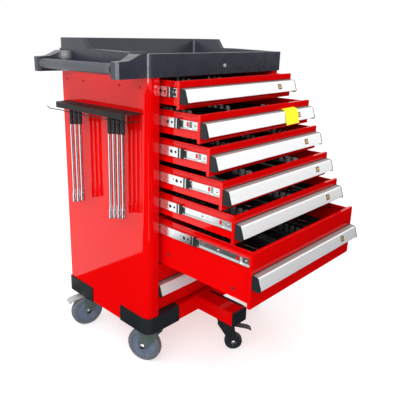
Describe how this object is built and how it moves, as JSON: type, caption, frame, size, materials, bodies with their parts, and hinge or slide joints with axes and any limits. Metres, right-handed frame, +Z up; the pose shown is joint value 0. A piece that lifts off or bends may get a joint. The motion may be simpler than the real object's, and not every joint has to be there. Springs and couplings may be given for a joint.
{
  "type": "tool cart",
  "caption": "Rolling tool cabinet with sliding drawers, full-width pulls, moulded top tray, push handle, side tool rack, casters and a pull-out anti-tip leg.",
  "frame": {"origin": "on the floor, under the middle of the whole cart's box as it stands with its drawers pulled out", "axes": "+Z up, -Y the front where the drawers open, -X the side with the push handle and the tool rack"},
  "size_m": [0.795, 0.8736, 1.11],
  "materials": {
    "red_paint": "glossy powder coat",
    "black_plastic": "satin moulded plastic",
    "black_grip": "fine grained sleeve",
    "black_steel": "satin black paint",
    "zinc": "bright zinc plate",
    "aluminium_pull": "brushed and anodised",
    "black_insert": "formed plastic",
    "chrome": "polished",
    "fork_steel": "dark zinc plate",
    "pedal_steel": "zinc plate",
    "grey_tyre": "moulded rubber",
    "black_tyre": "moulded rubber"
  },
  "bodies": {
    "cabinet": {"side_panel_left": "red_paint", "side_panel_right": "red_paint", "back_panel": "red_paint", "base_frame": "red_paint", "caster_mounts": "zinc", "inner_posts": "red_paint", "top_tray": "black_plastic", "handle_bar": "black_grip", "corner_bumpers": "black_plastic", "slide_cabinet_members": "zinc", "tool_rack": "black_steel", "hanging_bars": "chrome", "rigid_forks": "fork_steel"},
    "lock": {"lock_barrel": "chrome"},
    "drawer_1": {"drawer_1": "red_paint", "drawer_1_pull": "aluminium_pull", "drawer_1_slide_inner": "zinc", "drawer_1_insert": "black_insert"},
    "slide_middle_1": {"drawer_1_slide_middle": "zinc"},
    "drawer_2": {"drawer_2": "red_paint", "drawer_2_pull": "aluminium_pull", "drawer_2_slide_inner": "zinc", "drawer_2_insert": "black_insert"},
    "slide_middle_2": {"drawer_2_slide_middle": "zinc"},
    "drawer_3": {"drawer_3": "red_paint", "drawer_3_pull": "aluminium_pull", "drawer_3_slide_inner": "zinc", "drawer_3_insert": "black_insert"},
    "slide_middle_3": {"drawer_3_slide_middle": "zinc"},
    "drawer_4": {"drawer_4": "red_paint", "drawer_4_pull": "aluminium_pull", "drawer_4_slide_inner": "zinc", "drawer_4_insert": "black_insert"},
    "slide_middle_4": {"drawer_4_slide_middle": "zinc"},
    "drawer_5": {"drawer_5": "red_paint", "drawer_5_pull": "aluminium_pull", "drawer_5_slide_inner": "zinc", "drawer_5_insert": "black_insert"},
    "slide_middle_5": {"drawer_5_slide_middle": "zinc"},
    "drawer_6": {"drawer_6": "red_paint", "drawer_6_pull": "aluminium_pull", "drawer_6_slide_inner": "zinc", "drawer_6_insert": "black_insert"},
    "slide_middle_6": {"drawer_6_slide_middle": "zinc"},
    "drawer_7": {"drawer_7": "red_paint", "drawer_7_pull": "aluminium_pull", "drawer_7_slide_inner": "zinc"},
    "slide_middle_7": {"drawer_7_slide_middle": "zinc"},
    "front_caster": {"front_swivel_fork": "fork_steel"},
    "front_left_wheel": {"wheel_front_left": "grey_tyre"},
    "rear_caster": {"rear_swivel_fork": "fork_steel"},
    "rear_left_wheel": {"wheel_rear_left": "grey_tyre"},
    "rear_brake": {"rear_brake_pedal": "pedal_steel"},
    "front_right_wheel": {"wheel_front_right": "grey_tyre"},
    "rear_right_wheel": {"wheel_rear_right": "grey_tyre"},
    "leg": {"leg_beam": "red_paint", "leg_end_cap": "black_plastic"},
    "leg_caster": {"leg_fork": "black_steel"},
    "leg_roller": {"leg_wheel": "black_tyre"},
    "leg_brake": {"leg_brake_pedal": "black_steel"}
  },
  "joints": [
    {"name": "lock_turn", "type": "hinge", "parent": "cabinet", "child": "lock", "pos_m": [0.0525, -0.0383, 1.027], "axis": [0, -1, 0], "range_deg": [0, 90]},
    {"name": "drawer_1_slide", "type": "slide", "parent": "cabinet", "child": "drawer_1", "axis": [0, -1, 0], "range_m": [-0.102, 0.298]},
    {"name": "slide_middle_1_slide", "type": "slide", "parent": "cabinet", "child": "slide_middle_1", "axis": [0, -1, 0], "range_m": [-0.0802, 0.23392]},
    {"name": "drawer_2_slide", "type": "slide", "parent": "cabinet", "child": "drawer_2", "axis": [0, -1, 0], "range_m": [-0.186, 0.214]},
    {"name": "slide_middle_2_slide", "type": "slide", "parent": "cabinet", "child": "slide_middle_2", "axis": [0, -1, 0], "range_m": [-0.1112, 0.12792]},
    {"name": "drawer_3_slide", "type": "slide", "parent": "cabinet", "child": "drawer_3", "axis": [0, -1, 0], "range_m": [-0.225, 0.175]},
    {"name": "slide_middle_3_slide", "type": "slide", "parent": "cabinet", "child": "slide_middle_3", "axis": [0, -1, 0], "range_m": [-0.1282, 0.09976]},
    {"name": "drawer_4_slide", "type": "slide", "parent": "cabinet", "child": "drawer_4", "axis": [0, -1, 0], "range_m": [-0.277, 0.123]},
    {"name": "slide_middle_4_slide", "type": "slide", "parent": "cabinet", "child": "slide_middle_4", "axis": [0, -1, 0], "range_m": [-0.15319, 0.06813]},
    {"name": "drawer_5_slide", "type": "slide", "parent": "cabinet", "child": "drawer_5", "axis": [0, -1, 0], "range_m": [-0.325, 0.075]},
    {"name": "slide_middle_5_slide", "type": "slide", "parent": "cabinet", "child": "slide_middle_5", "axis": [0, -1, 0], "range_m": [-0.1262, 0.02928]},
    {"name": "drawer_6_slide", "type": "slide", "parent": "cabinet", "child": "drawer_6", "axis": [0, -1, 0], "range_m": [-0.393, 0.007]},
    {"name": "slide_middle_6_slide", "type": "slide", "parent": "cabinet", "child": "slide_middle_6", "axis": [0, -1, 0], "range_m": [-0.18821, 0.00355]},
    {"name": "drawer_7_slide", "type": "slide", "parent": "cabinet", "child": "drawer_7", "axis": [0, -1, 0], "range_m": [0, 0.4]},
    {"name": "slide_middle_7_slide", "type": "slide", "parent": "cabinet", "child": "slide_middle_7", "axis": [0, -1, 0], "range_m": [0, 0.2002]},
    {"name": "front_left_swivel", "type": "hinge", "parent": "cabinet", "child": "front_caster", "pos_m": [-0.2375, 0.0057, 0.125], "axis": [0, 0, 1], "continuous": true},
    {"name": "front_left_roll", "type": "hinge", "parent": "front_caster", "child": "front_left_wheel", "pos_m": [-0.24724, 0.02981, 0.0625], "axis": [0.9272, 0.3746, 0], "continuous": true},
    {"name": "rear_left_swivel", "type": "hinge", "parent": "cabinet", "child": "rear_caster", "pos_m": [-0.2375, 0.3567, 0.125], "axis": [0, 0, 1], "continuous": true},
    {"name": "rear_left_roll", "type": "hinge", "parent": "rear_caster", "child": "rear_left_wheel", "pos_m": [-0.26261, 0.36343, 0.0625], "axis": [0.2588, 0.9659, 0], "continuous": true},
    {"name": "rear_left_brake", "type": "hinge", "parent": "rear_caster", "child": "rear_brake", "pos_m": [-0.27324, 0.36628, 0.1295], "axis": [-0.2588, -0.9659, 0], "range_deg": [0, 6]},
    {"name": "front_right_roll", "type": "hinge", "parent": "cabinet", "child": "front_right_wheel", "pos_m": [0.3425, 0.0057, 0.0625], "axis": [1, 0, 0], "continuous": true},
    {"name": "rear_right_roll", "type": "hinge", "parent": "cabinet", "child": "rear_right_wheel", "pos_m": [0.3425, 0.3567, 0.0625], "axis": [1, 0, 0], "continuous": true},
    {"name": "leg_slide", "type": "slide", "parent": "cabinet", "child": "leg", "axis": [0, -1, 0], "range_m": [-0.15, 0]},
    {"name": "leg_swivel", "type": "hinge", "parent": "leg", "child": "leg_caster", "pos_m": [0.0095, -0.1283, 0.065], "axis": [0, 0, 1], "continuous": true},
    {"name": "leg_roll", "type": "hinge", "parent": "leg_caster", "child": "leg_roller", "pos_m": [0.03213, -0.15093, 0.0325], "axis": [-0.7071, -0.7071, 0], "continuous": true},
    {"name": "leg_brake", "type": "hinge", "parent": "leg_caster", "child": "leg_brake", "pos_m": [0.03284, -0.15163, 0.0995], "axis": [0.7071, 0.7071, 0], "range_deg": [0, 10]}
  ],
  "couplings": [
    {"joint": "slide_middle_1_slide", "follows": "drawer_1_slide", "ratio": 0.7843},
    {"joint": "slide_middle_2_slide", "follows": "drawer_2_slide", "ratio": 0.5968},
    {"joint": "slide_middle_3_slide", "follows": "drawer_3_slide", "ratio": 0.5689},
    {"joint": "slide_middle_4_slide", "follows": "drawer_4_slide", "ratio": 0.5523},
    {"joint": "slide_middle_5_slide", "follows": "drawer_5_slide", "ratio": 0.3877},
    {"joint": "slide_middle_6_slide", "follows": "drawer_6_slide", "ratio": 0.4784},
    {"joint": "slide_middle_7_slide", "follows": "drawer_7_slide", "ratio": 0.5}
  ]
}
